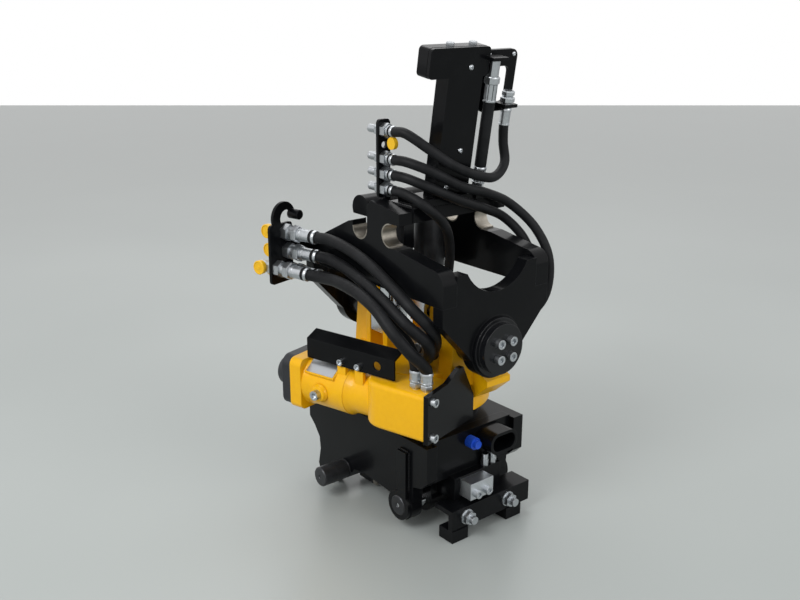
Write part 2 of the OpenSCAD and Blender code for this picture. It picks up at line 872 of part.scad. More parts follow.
module frame_fittings() {
    color("#c4c9cd") {
        for (z = riser_heights) translate([strip_x, riser_y, z]) {
            translate([6, 0, 0]) hose_fitting(24, 19, 28);
            translate([-10, 0, 0]) hex_head(22, 10);
            along_x(-34, -10, 15);
        }
        rear_space() for (place = rear_ports) translate([0, place[0], place[1]]) {
            translate([6, 0, 0]) hose_fitting(30, 25, ferrule_l - 6);
            translate([-12, 0, 0]) hex_head(28, 12);
            along_x(-38, -12, 22);
        }
        // Bulkhead fittings of the tower's head
        tower_space() {
            translate([8, loop_y, loop_z]) cylinder(h = 60, d = 19);
            translate([8, 58, shelf_z - 30]) cylinder(h = 30, d = 22, $fn = 6);
            translate([8, 58, 16]) cylinder(h = 14, d = 22, $fn = 6);
        }
    }
}

module dust_caps() {
    color("#f0c020") {
        rear_space() for (place = rear_ports)
            translate([-27, place[0] - 11, place[1]]) along_y(-8, 0, 28);
        // Cap that hangs under the top riser fitting
        translate([strip_x + 33, riser_y, riser_heights[3] - 9.5 - 11]) along_y(-6, 2, 22);
    }
}

// Hoses

function unit(v) = v / norm(v);

// Directions along a route, with the first and the last one given
function route_ways(p, first, last) = [
    for (i = [0 : len(p) - 1])
        i == 0 ? unit(first) : i == len(p) - 1 ? unit(last) : unit(p[i + 1] - p[i - 1])
];

// Side directions carried along a route without twist
function carried(ways, i, side) =
    i >= len(ways) ? [] :
    let (next = unit(side - (side * ways[i]) * ways[i]))
    concat([next], carried(ways, i + 1, next));

// Round hose through the points of a route
module hose(p, d, first, last, sides = 10) {
    ways = route_ways(p, first, last);
    rights = carried(ways, 0, [0.3, 0.5, 0.81]);
    rings = [
        for (i = [0 : len(p) - 1], k = [0 : sides - 1])
            let (a = 360 * k / sides)
            p[i] + d / 2 * (cos(a) * rights[i] + sin(a) * cross(ways[i], rights[i]))
    ];
    last_ring = (len(p) - 1) * sides;
    faces = concat(
        [[for (k = [0 : sides - 1]) sides - 1 - k]],
        [for (i = [0 : len(p) - 2], k = [0 : sides - 1])
            let (a = i * sides + k, b = i * sides + (k + 1) % sides)
            [a, b, b + sides, a + sides]],
        [[for (k = [0 : sides - 1]) last_ring + k]]
    );
    polyhedron(rings, faces);
}

// End of a rear fitting and the way its hose leaves
function rear_end(i) = rear_place + [
    ferrule_l * cos(rear_turn) - rear_ports[i][0] * sin(rear_turn),
    ferrule_l * sin(rear_turn) + rear_ports[i][0] * cos(rear_turn),
    rear_ports[i][1]
];
rear_way = [cos(rear_turn), sin(rear_turn), 0];

// End of a swivel port and the way a hose enters it
function port_end(angle) = [port_r * cos(angle), port_r * sin(angle), swivel_z];
function port_way(angle) = [-cos(angle), -sin(angle), 0];

// Top of a motor port
function motor_end(i) = [
    motor_ports[i] * cos(worm_skew) - (port_y - worm_a) * sin(worm_skew),
    motor_ports[i] * sin(worm_skew) + (port_y - worm_a) * cos(worm_skew),
    worm_z + port_z
];

// End of a riser fitting
function riser_end(i) = [riser_x, riser_y, riser_heights[i]];

// A point of the tower's space
function tower_point(x, y, z) = [
    78 + x * cos(tower_lean) + z * sin(tower_lean), y, beam_z - x * sin(tower_lean) + z * cos(tower_lean)
];
tower_way = [sin(tower_lean), 0, cos(tower_lean)];

module hose_swivel_upper() {
    color("#1a1a1b") hose(concat([rear_end(0)], route_swivel_upper, [port_end(-25)]),
        hose_d, rear_way, port_way(-25));
}

module hose_swivel_lower() {
    color("#1a1a1b") hose(concat([rear_end(1)], route_swivel_lower, [port_end(-50)]),
        hose_d, rear_way, port_way(-50));
}

module hose_motor_upper() {
    color("#1a1a1b") hose(concat([rear_end(2)], route_motor_upper, [motor_end(1)]),
        hose_d, rear_way, [0, 0, -1]);
}

module hose_motor_lower() {
    color("#1a1a1b") hose(concat([rear_end(3)], route_motor_lower, [motor_end(0)]),
        hose_d, rear_way, [0, 0, -1]);
}

module hose_loop() {
    color("#1a1a1b") hose(concat([riser_end(3)], route_loop, [tower_point(8, loop_y, loop_z)]),
        small_hose_d, [1, 0, 0], tower_way);
}

module hose_riser_top() {
    color("#1a1a1b") hose(concat([riser_end(2)], route_riser_top, [port_end(25)]),
        small_hose_d, [1, 0, 0], port_way(25));
}

module hose_riser_middle() {
    color("#1a1a1b") hose(concat([riser_end(1)], route_riser_middle, [port_end(50)]),
        small_hose_d, [1, 0, 0], port_way(50));
}

module hose_riser_low() {
    color("#1a1a1b") hose(concat([riser_end(0)], route_riser_low, [port_end(0)]),
        small_hose_d, [1, 0, 0], port_way(0));
}

module hose_tower() {
    color("#1a1a1b") tower_space() translate([8, 58, 30]) cylinder(h = shelf_z - 60, d = hose_d);
}

hitch_frame();
rotor_hub();
worm_wheel();
hitch_bolts();
swivel_core();
rear_pin();
front_pin();
lock_cylinder();
valve_block();
lock_fittings();
foot_bar();
foot_blocks();
guide_tube();
port_plug();
lock_wedges();
lock_yoke();
gear_housing();
worm_bearings();
bearing_cap();
worm_motor();
motor_cover();
motor_end_plate();
housing_bolts();
housing_plugs();
label_plate();
guards();
housing_fittings();
tilt_bushes();
hub_bearing();
hub_seal();
swivel_housing();
lever_pins();
worm_shaft();
worm_thread();
side_plate_near();
side_plate_far();
front_plate();
rear_plate();
cross_beams();
jaw_liners();
tilt_pins();
frame_bolts();
cylinder_barrels();
tower_column();
tower_guard();
riser_bracket();
rear_bracket();
frame_fittings();
dust_caps();
rod_near();
rod_far();
hose_swivel_upper();
hose_swivel_lower();
hose_motor_upper();
hose_motor_lower();
hose_loop();
hose_riser_top();
hose_riser_middle();
hose_riser_low();
hose_tower();
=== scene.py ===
import json
import math
import bpy
import bmesh
from mathutils import Matrix, Vector


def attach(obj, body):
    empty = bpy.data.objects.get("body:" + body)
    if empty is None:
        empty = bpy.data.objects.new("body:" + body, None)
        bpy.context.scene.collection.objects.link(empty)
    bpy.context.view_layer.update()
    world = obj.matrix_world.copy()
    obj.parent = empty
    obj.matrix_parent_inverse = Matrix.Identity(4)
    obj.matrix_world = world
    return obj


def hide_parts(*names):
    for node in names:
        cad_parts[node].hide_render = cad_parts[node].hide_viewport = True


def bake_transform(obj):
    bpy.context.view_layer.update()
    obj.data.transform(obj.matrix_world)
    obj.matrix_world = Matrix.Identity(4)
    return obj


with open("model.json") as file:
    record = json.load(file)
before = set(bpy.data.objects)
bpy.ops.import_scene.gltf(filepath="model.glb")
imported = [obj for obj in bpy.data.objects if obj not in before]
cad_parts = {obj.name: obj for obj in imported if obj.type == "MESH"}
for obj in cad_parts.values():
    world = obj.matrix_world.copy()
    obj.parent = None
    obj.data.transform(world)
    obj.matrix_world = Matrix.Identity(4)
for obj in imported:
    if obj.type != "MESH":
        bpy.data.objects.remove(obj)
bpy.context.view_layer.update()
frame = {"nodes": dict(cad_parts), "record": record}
nodes = frame["nodes"]
print("frame loaded:", len(nodes), "nodes")

# camera: set where the photograph was taken from
photoView = {
    "place": (1.3826, -1.1710, 1.0),  # metres in the part's frame
    "azimuth": 51.09,                 # degrees
    "pitch": 17.87,                   # degrees down
    "lens": 43.5,                     # mm
    "sensor": 36,                     # mm
}


def placeCamera(view):
    azimuth, pitch = math.radians(view["azimuth"]), math.radians(view["pitch"])
    ahead = Vector((-math.sin(azimuth) * math.cos(pitch),
                    math.cos(azimuth) * math.cos(pitch),
                    -math.sin(pitch)))
    data = bpy.data.cameras.new("photoCamera")
    data.lens, data.sensor_width = view["lens"], view["sensor"]
    camera = bpy.data.objects.new("photoCamera", data)
    camera.location = view["place"]
    camera.rotation_euler = ahead.to_track_quat("-Z", "Y").to_euler()
    bpy.context.scene.collection.objects.link(camera)
    bpy.context.scene.camera = camera


placeCamera(photoView)
print("camera placed")


# materials

def toLinear(hexText):
    parts = [int(hexText[i:i + 2], 16) / 255 for i in (1, 3, 5)]
    return tuple(c / 12.92 if c <= 0.04045 else ((c + 0.055) / 1.055) ** 2.4 for c in parts) + (1.0,)


def perMetre(mm):
    return 1000 / mm  # a pattern of this size in mm, as a scale on metres


def wavePerMetre(mm):
    return perMetre(mm) / 6.28  # the same for a wave, whose scale counts radians


def addNode(tree, kind, settings=None, links=None):
    node = tree.nodes.new(kind)
    for key, value in (settings or {}).items():
        if isinstance(key, int) or key in node.inputs:
            node.inputs[key].default_value = value
        else:
            setattr(node, key, value)
    for key, source in (links or {}).items():
        tree.links.new(source, node.inputs[key])
    return node


def startMaterial(name):
    material = bpy.data.materials.new(name)
    material.use_nodes = True
    tree = material.node_tree
    tree.nodes.clear()
    return material, tree, addNode(tree, "ShaderNodeTexCoord").outputs["Object"]


def finishMaterial(tree, settings, links):
    shader = addNode(tree, "ShaderNodeBsdfPrincipled", settings, links)
    addNode(tree, "ShaderNodeOutputMaterial", None, {"Surface": shader.outputs["BSDF"]})


def blackPowderCoat():
    # powder coat baked on steel plate: deep black with a thin gloss, fine orange peel, edges a
    # little greyer, partly as rubbed wear and partly as a painted highlight on the edges, and dust in patches
    look = {"coat": "#0A0B0D", "dust": "#141517", "rubAndHighlight": "#2A2B2D",
            "peelMm": 1.6, "dustMm": 60, "edgeMm": 1.6, "rubAndHighlightMm": 2.8}
    material, tree, place = startMaterial("powderCoatBlack")
    rounded = addNode(tree, "ShaderNodeBevel", {"samples": 4, "Radius": look["edgeMm"] / 1000})
    peel = addNode(tree, "ShaderNodeTexNoise",
                   {"Scale": perMetre(look["peelMm"]), "Detail": 2}, {"Vector": place})
    bump = addNode(tree, "ShaderNodeBump", {"Strength": 0.10, "Distance": 0.0004},
                   {"Height": peel.outputs["Fac"], "Normal": rounded.outputs["Normal"]})
    patch = addNode(tree, "ShaderNodeTexNoise",
                    {"Scale": perMetre(look["dustMm"]), "Detail": 5, "Roughness": 0.6}, {"Vector": place})
    dust = addNode(tree, "ShaderNodeMapRange", {"From Min": 0.5, "From Max": 0.78, "To Max": 0.5},
                   {"Value": patch.outputs["Fac"]})
    # an edge is where the rounded normal leaves the flat one
    wide = addNode(tree, "ShaderNodeBevel", {"samples": 4, "Radius": look["rubAndHighlightMm"] / 1000})
    flat = addNode(tree, "ShaderNodeNewGeometry")
    facing = addNode(tree, "ShaderNodeVectorMath", {"operation": "DOT_PRODUCT"},
                     {0: wide.outputs["Normal"], 1: flat.outputs["Normal"]})
    edge = addNode(tree, "ShaderNodeMapRange", {"From Min": 0.97, "From Max": 0.80, "To Max": 0.55},
                   {"Value": facing.outputs["Value"]})
    # edge mask times patch noise: where the edges get rubbed wear plus a painted highlight
    wearAndHighlight = addNode(tree, "ShaderNodeMath", {"operation": "MULTIPLY"},
                   {0: edge.outputs["Result"], 1: patch.outputs["Fac"]})
    dusty = addNode(tree, "ShaderNodeMix",
                    {"data_type": "RGBA", 6: toLinear(look["coat"]), 7: toLinear(look["dust"])},
                    {0: dust.outputs["Result"]})
    # lighter grey along the edges: rubbed wear plus a painted edge highlight
    colour = addNode(tree, "ShaderNodeMix", {"data_type": "RGBA", 7: toLinear(look["rubAndHighlight"])},
                     {0: wearAndHighlight.outputs["Value"], 6: dusty.outputs[2]})
    rough = addNode(tree, "ShaderNodeMapRange", {"To Min": 0.24, "To Max": 0.40},
                    {"Value": patch.outputs["Fac"]})
    finishMaterial(tree, {"IOR": 1.5, "Specular IOR Level": 0.06,
                          "Coat Weight": 0.5, "Coat Roughness": 0.12, "Coat IOR": 1.22},
                   {"Base Color": colour.outputs[2], "Roughness": rough.outputs["Result"],
                    "Normal": bump.outputs["Normal"]})
    return material


def yellowEnamel():
    # two-part enamel sprayed on an iron casting: glossy warm yellow over a faintly uneven cast skin
    look = {"paint": "#F8BD0D", "deep": "#EFB006", "castMm": 9, "peelMm": 2.2, "edgeMm": 3}
    material, tree, place = startMaterial("enamelYellow")
    rounded = addNode(tree, "ShaderNodeBevel", {"samples": 6, "Radius": look["edgeMm"] / 1000})
    cast = addNode(tree, "ShaderNodeTexNoise",
                   {"Scale": perMetre(look["castMm"]), "Detail": 3}, {"Vector": place})
    peel = addNode(tree, "ShaderNodeTexNoise",
                   {"Scale": perMetre(look["peelMm"]), "Detail": 1}, {"Vector": place})
    skin = addNode(tree, "ShaderNodeBump", {"Strength": 0.16, "Distance": 0.0010},
                   {"Height": cast.outputs["Fac"], "Normal": rounded.outputs["Normal"]})
    bump = addNode(tree, "ShaderNodeBump", {"Strength": 0.05, "Distance": 0.0004},
                   {"Height": peel.outputs["Fac"], "Normal": skin.outputs["Normal"]})
    colour = addNode(tree, "ShaderNodeMix",
                     {"data_type": "RGBA", 6: toLinear(look["deep"]), 7: toLinear(look["paint"])},
                     {0: cast.outputs["Fac"]})
    finishMaterial(tree, {"Roughness": 0.34, "IOR": 1.5, "Specular IOR Level": 0.22,
                          "Coat Weight": 0.18, "Coat Roughness": 0.12},
                   {"Base Color": colour.outputs[2], "Normal": bump.outputs["Normal"]})
    return material


def zincPlate():
    # bright zinc on turned steel fittings: pale blue-grey metal with soft cloudy spots
    look = {"zinc": "#C9CDD0", "cloud": "#A4A8AC", "cloudMm": 5, "edgeMm": 0.8}
    material, tree, place = startMaterial("zincPlatedSteel")
    rounded = addNode(tree, "ShaderNodeBevel", {"samples": 4, "Radius": look["edgeMm"] / 1000})
    cloud = addNode(tree, "ShaderNodeTexNoise",
                    {"Scale": perMetre(look["cloudMm"]), "Detail": 4}, {"Vector": place})
    colour = addNode(tree, "ShaderNodeMix",
                     {"data_type": "RGBA", 6: toLinear(look["zinc"]), 7: toLinear(look["cloud"])},
                     {0: cloud.outputs["Fac"]})
    rough = addNode(tree, "ShaderNodeMapRange", {"To Min": 0.22, "To Max": 0.42},
                    {"Value": cloud.outputs["Fac"]})
    finishMaterial(tree, {"Metallic": 1.0},
                   {"Base Color": colour.outputs[2], "Roughness": rough.outputs["Result"],
                    "Normal": rounded.outputs["Normal"]})
    return material


def machinedSteel():
    # bored steel left bare: fine tool rings, warm grey where it has dulled
    look = {"steel": "#B9B3A8", "dull": "#8A847A", "ringMm": 1.2, "stainMm": 14}
    material, tree, place = startMaterial("machinedSteel")
    stain = addNode(tree, "ShaderNodeTexNoise",
                    {"Scale": perMetre(look["stainMm"]), "Detail": 4}, {"Vector": place})
    rings = addNode(tree, "ShaderNodeTexWave",
                    {"bands_direction": "Y", "Scale": wavePerMetre(look["ringMm"]), "Distortion": 0.4},
                    {"Vector": place})
    bump = addNode(tree, "ShaderNodeBump", {"Strength": 0.15, "Distance": 0.0002},
                   {"Height": rings.outputs["Fac"]})
    colour = addNode(tree, "ShaderNodeMix",
                     {"data_type": "RGBA", 6: toLinear(look["steel"]), 7: toLinear(look["dull"])},
                     {0: stain.outputs["Fac"]})
    rough = addNode(tree, "ShaderNodeMapRange", {"To Min": 0.3, "To Max": 0.5},
                    {"Value": stain.outputs["Fac"]})
    finishMaterial(tree, {"Metallic": 1.0},
                   {"Base Color": colour.outputs[2], "Roughness": rough.outputs["Result"],
                    "Normal": bump.outputs["Normal"]})
    return material


def hardChrome():
    # ground and chromed pins and rods: mirror-like, with faint grinding lines around them
    look = {"chrome": "#C4C7CA", "lineMm": 1.5}
    material, tree, place = startMaterial("hardChrome")
    lines = addNode(tree, "ShaderNodeTexWave",
                    {"bands_direction": "Y", "Scale": wavePerMetre(look["lineMm"]), "Distortion": 1.0},
                    {"Vector": place})
    rough = addNode(tree, "ShaderNodeMapRange", {"To Min": 0.10, "To Max": 0.2},
                    {"Value": lines.outputs["Fac"]})
    finishMaterial(tree, {"Base Color": toLinear(look["chrome"]), "Metallic": 1.0},
                   {"Roughness": rough.outputs["Result"]})
    return material


def oiledSteel():
    # blackened steel with an oil film: dark, half metallic, smeared gloss
    look = {"steel": "#2A2B2D", "smear": "#46474A", "smearMm": 18, "edgeMm": 1.2}
    material, tree, place = startMaterial("oiledBlackSteel")
    rounded = addNode(tree, "ShaderNodeBevel", {"samples": 4, "Radius": look["edgeMm"] / 1000})
    smear = addNode(tree, "ShaderNodeTexNoise",
                    {"Scale": perMetre(look["smearMm"]), "Detail": 5}, {"Vector": place})
    colour = addNode(tree, "ShaderNodeMix",
                     {"data_type": "RGBA", 6: toLinear(look["steel"]), 7: toLinear(look["smear"])},
                     {0: smear.outputs["Fac"]})
    rough = addNode(tree, "ShaderNodeMapRange", {"To Min": 0.25, "To Max": 0.5},
                    {"Value": smear.outputs["Fac"]})
    finishMaterial(tree, {"Metallic": 0.7},
                   {"Base Color": colour.outputs[2], "Roughness": rough.outputs["Result"],
                    "Normal": rounded.outputs["Normal"]})
    return material


def brushedLacquer(name, lacquerHex, thinHex, roughness):
    # black lacquer brushed on turned or cast iron: wet looking, thinner in streaks, rims that catch
    # the light
    look = {"streakMm": 22, "sagMm": 5, "edgeMm": 2.4}
    material, tree, place = startMaterial(name)
    rounded = addNode(tree, "ShaderNodeBevel", {"samples": 6, "Radius": look["edgeMm"] / 1000})
    streak = addNode(tree, "ShaderNodeTexNoise",
                     {"Scale": perMetre(look["streakMm"]), "Detail": 4}, {"Vector": place})
    sag = addNode(tree, "ShaderNodeTexNoise",
                  {"Scale": perMetre(look["sagMm"]), "Detail": 2}, {"Vector": place})
    bump = addNode(tree, "ShaderNodeBump", {"Strength": 0.10, "Distance": 0.0006},
                   {"Height": sag.outputs["Fac"], "Normal": rounded.outputs["Normal"]})
    colour = addNode(tree, "ShaderNodeMix",
                     {"data_type": "RGBA", 6: toLinear(lacquerHex), 7: toLinear(thinHex)},
                     {0: streak.outputs["Fac"]})
    finishMaterial(tree, {"Roughness": roughness, "IOR": 1.5, "Specular IOR Level": 0.3},
                   {"Base Color": colour.outputs[2], "Normal": bump.outputs["Normal"]})
    return material


def castBronze():
    # bearing bronze, turned: brown gold with a grain of the cut
    look = {"bronze": "#9A7440", "dark": "#77572D", "grainMm": 3}
    material, tree, place = startMaterial("castBronze")
    grain = addNode(tree, "ShaderNodeTexNoise",
                    {"Scale": perMetre(look["grainMm"]), "Detail": 4}, {"Vector": place})
    colour = addNode(tree, "ShaderNodeMix",
                     {"data_type": "RGBA", 6: toLinear(look["bronze"]), 7: toLinear(look["dark"])},
                     {0: grain.outputs["Fac"]})
    finishMaterial(tree, {"Metallic": 1.0, "Roughness": 0.38}, {"Base Color": colour.outputs[2]})
    return material


def sawnAluminium():
    # valve block cut from bar: light grey metal with straight cutter marks
    look = {"metal": "#D2D6D9", "mark": "#B6BABE", "markMm": 1.4, "edgeMm": 1.0}
    material, tree, place = startMaterial("sawnAluminium")
    rounded = addNode(tree, "ShaderNodeBevel", {"samples": 4, "Radius": look["edgeMm"] / 1000})
    marks = addNode(tree, "ShaderNodeTexWave",
                    {"bands_direction": "Z", "Scale": wavePerMetre(look["markMm"]), "Distortion": 1.5},
                    {"Vector": place})
    bump = addNode(tree, "ShaderNodeBump", {"Strength": 0.12, "Distance": 0.0002},
                   {"Height": marks.outputs["Fac"], "Normal": rounded.outputs["Normal"]})
    colour = addNode(tree, "ShaderNodeMix",
                     {"data_type": "RGBA", 6: toLinear(look["metal"]), 7: toLinear(look["mark"])},
                     {0: marks.outputs["Fac"]})
    finishMaterial(tree, {"Metallic": 1.0, "Roughness": 0.38},
                   {"Base Color": colour.outputs[2], "Normal": bump.outputs["Normal"]})
    return material


def wrappedRubber():
    # hose cover cured in a cloth wrap: dull black with a fine cross weave pressed in, drawn coarse
    # so that it shows
    look = {"rubber": "#0F1012", "scuff": "#1A1B1D", "weaveMm": 2.4, "scuffMm": 26}
    material, tree, place = startMaterial("wrappedRubber")
    weave = addNode(tree, "ShaderNodeTexVoronoi", {"Scale": perMetre(look["weaveMm"])}, {"Vector": place})
    bump = addNode(tree, "ShaderNodeBump", {"Strength": 0.22, "Distance": 0.0005},
                   {"Height": weave.outputs["Distance"]})
    scuff = addNode(tree, "ShaderNodeTexNoise",
                    {"Scale": perMetre(look["scuffMm"]), "Detail": 5}, {"Vector": place})
    share = addNode(tree, "ShaderNodeMapRange", {"From Min": 0.45, "From Max": 0.75},
                    {"Value": scuff.outputs["Fac"]})
    colour = addNode(tree, "ShaderNodeMix",
                     {"data_type": "RGBA", 6: toLinear(look["rubber"]), 7: toLinear(look["scuff"])},
                     {0: share.outputs["Result"]})
    finishMaterial(tree, {"Roughness": 0.55, "IOR": 1.52, "Specular IOR Level": 0.16},
                   {"Base Color": colour.outputs[2], "Normal": bump.outputs["Normal"]})
    return material


def mouldedSoftPart(name, colourHex, shadeHex):
    # polythene caps and plugs and the nitrile seal, moulded: even colour, waxy half gloss
    look = {"flowMm": 7, "grainMm": 0.9}
    material, tree, place = startMaterial(name)
    flow = addNode(tree, "ShaderNodeTexNoise",
                   {"Scale": perMetre(look["flowMm"]), "Detail": 2}, {"Vector": place})
    grain = addNode(tree, "ShaderNodeTexNoise", {"Scale": perMetre(look["grainMm"])}, {"Vector": place})
    bump = addNode(tree, "ShaderNodeBump", {"Strength": 0.08, "Distance": 0.0002},
                   {"Height": grain.outputs["Fac"]})
    colour = addNode(tree, "ShaderNodeMix",
                     {"data_type": "RGBA", 6: toLinear(colourHex), 7: toLinear(shadeHex)},
                     {0: flow.outputs["Fac"]})
    finishMaterial(tree, {"Roughness": 0.42, "IOR": 1.51},
                   {"Base Color": colour.outputs[2], "Normal": bump.outputs["Normal"]})
    return material


def anodisedFoil():
    # thin bare plate, brushed and anodised: silver with a fine grain
    look = {"silver": "#C6C9CC", "shade": "#A9ADB1", "grainMm": 0.8}
    material, tree, place = startMaterial("anodisedPlate")
    grain = addNode(tree, "ShaderNodeTexNoise",
                    {"Scale": perMetre(look["grainMm"]), "Detail": 3}, {"Vector": place})
    colour = addNode(tree, "ShaderNodeMix",
                     {"data_type": "RGBA", 6: toLinear(look["silver"]), 7: toLinear(look["shade"])},
                     {0: grain.outputs["Fac"]})
    finishMaterial(tree, {"Metallic": 1.0, "Roughness": 0.34}, {"Base Color": colour.outputs[2]})
    return material


slotFinish = {
    "black_paint": blackPowderCoat(),
    "yellow_paint": yellowEnamel(),
    "zinc": zincPlate(),
    "bare_steel": machinedSteel(),
    "chrome": hardChrome(),
    "dark_steel": oiledSteel(),
    "bronze": castBronze(),
    "alloy": sawnAluminium(),
    "hose_rubber": wrappedRubber(),
    "cap_plastic": mouldedSoftPart("polytheneYellow", "#F4C21B", "#E3AE0E"),
    "plug_plastic": mouldedSoftPart("polytheneBlue", "#1F57D6", "#1745B4"),
    "seal_rubber": mouldedSoftPart("nitrileBlack", "#151515", "#1E1E1E"),
    "label_metal": anodisedFoil(),
}
discLacquer = brushedLacquer("lacquerBlack", "#0B0C0E", "#17181B", 0.2)
capLacquer = brushedLacquer("lacquerGrey", "#222427", "#303236", 0.42)
nodeFinish = {"tilt_pins": discLacquer, "bearing_cap": capLacquer}  # black pieces with their own coat
print("materials made")

for part in frame["record"]["subparts"]:
    finish = nodeFinish.get(part["node"], slotFinish[part["material_slot"]])
    nodes[part["node"]].data.materials.clear()
    nodes[part["node"]].data.materials.append(finish)
print("frame dressed")

# places that the added pieces share with the frame's solids, in mm and degrees
rearBracket = {"x": -215, "y": -184, "turn": 15, "hoseStart": 88,
               "ports": [(6, 541), (10, 502), (-20, 472), (14, 462)]}  # side and height of each
riserStrip = {"x": 2, "y": -98, "hoseStart": 34, "heights": [652, 680, 708, 758]}
wormTube = {"height": 262, "turn": 15, "out": 141, "portOut": 26, "portRise": 84, "ports": [104, 128]}
tower = {"x": 78, "z": 628, "lean": 9, "hoseX": 8, "uprightY": 58, "loopY": 104}
swivelRing = {"radius": 58, "height": 334}


def rearEnd(i):
    turn, reach = math.radians(rearBracket["turn"]), rearBracket["hoseStart"]
    side, height = rearBracket["ports"][i]
    return (rearBracket["x"] + reach * math.cos(turn) - side * math.sin(turn),
            rearBracket["y"] + reach * math.sin(turn) + side * math.cos(turn), height)


def riserEnd(i):
    return (riserStrip["x"] + riserStrip["hoseStart"], riserStrip["y"], riserStrip["heights"][i])


def motorEnd(i):
    turn, along = math.radians(wormTube["turn"]), wormTube["ports"][i]
    out = wormTube["out"] + wormTube["portOut"]
    return (along * math.cos(turn) + out * math.sin(turn), along * math.sin(turn) - out * math.cos(turn),
            wormTube["height"] + wormTube["portRise"])


def towerPoint(y, z):
    lean, x = math.radians(tower["lean"]), tower["hoseX"]
    return (tower["x"] + x * math.cos(lean) + z * math.sin(lean), y,
            tower["z"] - x * math.sin(lean) + z * math.cos(lean))


def portEnd(degrees):
    a = math.radians(degrees)
    return (swivelRing["radius"] * math.cos(a), swivelRing["radius"] * math.sin(a), swivelRing["height"])


def portWay(degrees):
    return (-math.cos(math.radians(degrees)), -math.sin(math.radians(degrees)), 0)


# hoses: smooth tubes along the routes of the frame's own hose solids, in mm
# hoses without bend points ride on the upper frame; the rest are baked where they lie, and their bend points
# are read but not used
hoseMesh = {"steps": 7, "sides": 24}
rearWay = (math.cos(math.radians(rearBracket["turn"])), math.sin(math.radians(rearBracket["turn"])), 0)
towerWay = (math.sin(math.radians(tower["lean"])), 0, math.cos(math.radians(tower["lean"])))
riserWay = (1, 0, 0)
downWay = (0, 0, -1)
hoses = {
    "hose_swivel_upper": {
        "diameter": 22, "first": rearWay, "last": portWay(-25),
        "bends": ((95, -149, 492), (102, -62, 350)),
        "route": [rearEnd(0), (-100, -147, 541), (-40, -146, 535), (30, -146, 517), (95, -149, 492),
                  (150, -146, 463), (172, -122, 428), (144, -88, 386), (102, -62, 350), (80, -38, 335),
                  portEnd(-25)]},
    "hose_swivel_lower": {
        "diameter": 22, "first": rearWay, "last": portWay(-50),
        "bends": ((0, 0, 480), (0, 0, 340)),
        "route": [rearEnd(1), (-100, -146, 502), (-40, -153, 499), (30, -162, 488), (95, -167, 469),
                  (150, -160, 438), (168, -128, 402), (140, -102, 362), (104, -92, 346), (74, -82, 335),
                  portEnd(-50)]},
    "hose_motor_upper": {
        "diameter": 22, "first": rearWay, "last": downWay,
        "bends": ((0, 0, 450), (0, 0, 346)),
        "route": [rearEnd(2), (-90, -174, 473), (-30, -179, 480), (35, -185, 477), (95, -188, 461),
                  (140, -186, 430), (168, -170, 396), (172, -144, 368), motorEnd(1)]},
    "hose_motor_lower": {
        "diameter": 22, "first": rearWay, "last": downWay,
        "bends": ((82, -111, 500), (107, -91, 342)),
        "route": [rearEnd(3), (-90, -146, 462), (-30, -150, 460), (35, -156, 454), (90, -156, 438),
                  (128, -150, 408), (143, -140, 376), motorEnd(0)]},
    "hose_loop": {
        "diameter": 18, "first": riserWay, "last": towerWay, "bends": None,
        "route": [riserEnd(3), (66, -94, 757), (98, -66, 730), (118, -30, 702), (124, 20, 680),
                  (120, 70, 670), (110, 106, 690), (105, 106, 730), towerPoint(tower["loopY"], 140)]},
    "hose_riser_top": {
        "diameter": 18, "first": riserWay, "last": portWay(25),
        "bends": ((152, 155, 516), (82, 43, 338)),
        "route": [riserEnd(2), (72, -96, 708), (106, -66, 692), (120, -10, 662), (114, 60, 640),
                  (116, 120, 612), (146, 160, 564), (178, 167, 506), (180, 154, 434), (156, 108, 386),
                  (108, 61, 349), (78, 36, 335), portEnd(25)]},
    "hose_riser_middle": {
        "diameter": 18, "first": riserWay, "last": portWay(50),
        "bends": ((149, 152, 507), (79, 90, 337)),
        "route": [riserEnd(1), (72, -96, 679), (106, -66, 662), (118, -6, 634), (110, 60, 610),
                  (106, 116, 584), (130, 148, 540), (158, 150, 480), (146, 138, 412), (108, 110, 358),
                  (74, 86, 335), portEnd(50)]},
    "hose_riser_low": {
        "diameter": 18, "first": riserWay, "last": portWay(0),
        "bends": ((0, 0, 450), (0, 0, 346)),
        "route": [riserEnd(0), (76, -102, 652), (112, -88, 634), (114, -44, 594), (96, -14, 540),
                  (76, 0, 470), (82, 0, 400), (92, 0, 356), (78, 0, 336), portEnd(0)]},
    "hose_tower": {
        "diameter": 22, "first": towerWay, "last": towerWay, "bends": None,
        "route": [towerPoint(tower["uprightY"], z) for z in (30, 80, 130, 180, 228)]},
}


def smoothRoute(route, first, last):
    p = [Vector(v) / 1000 for v in route]
    ways = []
    for i in range(len(p)):
        if i in (0, len(p) - 1):
            span = (p[1] - p[0]).length if i == 0 else (p[-1] - p[-2]).length
            ways.append(Vector(first if i == 0 else last).normalized() * span)
        else:
            ways.append((p[i + 1] - p[i - 1]) / 2)
    line = []
    for i in range(len(p) - 1):
        for k in range(hoseMesh["steps"]):
            t = k / hoseMesh["steps"]
            line.append(p[i] * (2 * t**3 - 3 * t**2 + 1) + ways[i] * (t**3 - 2 * t**2 + t)
                        + p[i + 1] * (-2 * t**3 + 3 * t**2) + ways[i + 1] * (t**3 - t**2))
    return line + [p[-1]]


def closeRings(form, rings):
    count = len(rings[0])
    for lower, upper in zip(rings, rings[1:]):
        for k in range(count):
            form.faces.new((lower[k], lower[(k + 1) % count], upper[(k + 1) % count], upper[k]))
    form.faces.new(list(reversed(rings[0])))
    form.faces.new(rings[-1])


def linkForm(name, form, material, smooth=True):
    mesh = bpy.data.meshes.new(name)
    form.to_mesh(mesh)
    form.free()
    mesh.materials.append(material)
    for polygon in mesh.polygons:
        polygon.use_smooth = smooth
    piece = bpy.data.objects.new(name, mesh)
    bpy.context.scene.collection.objects.link(piece)
    return piece


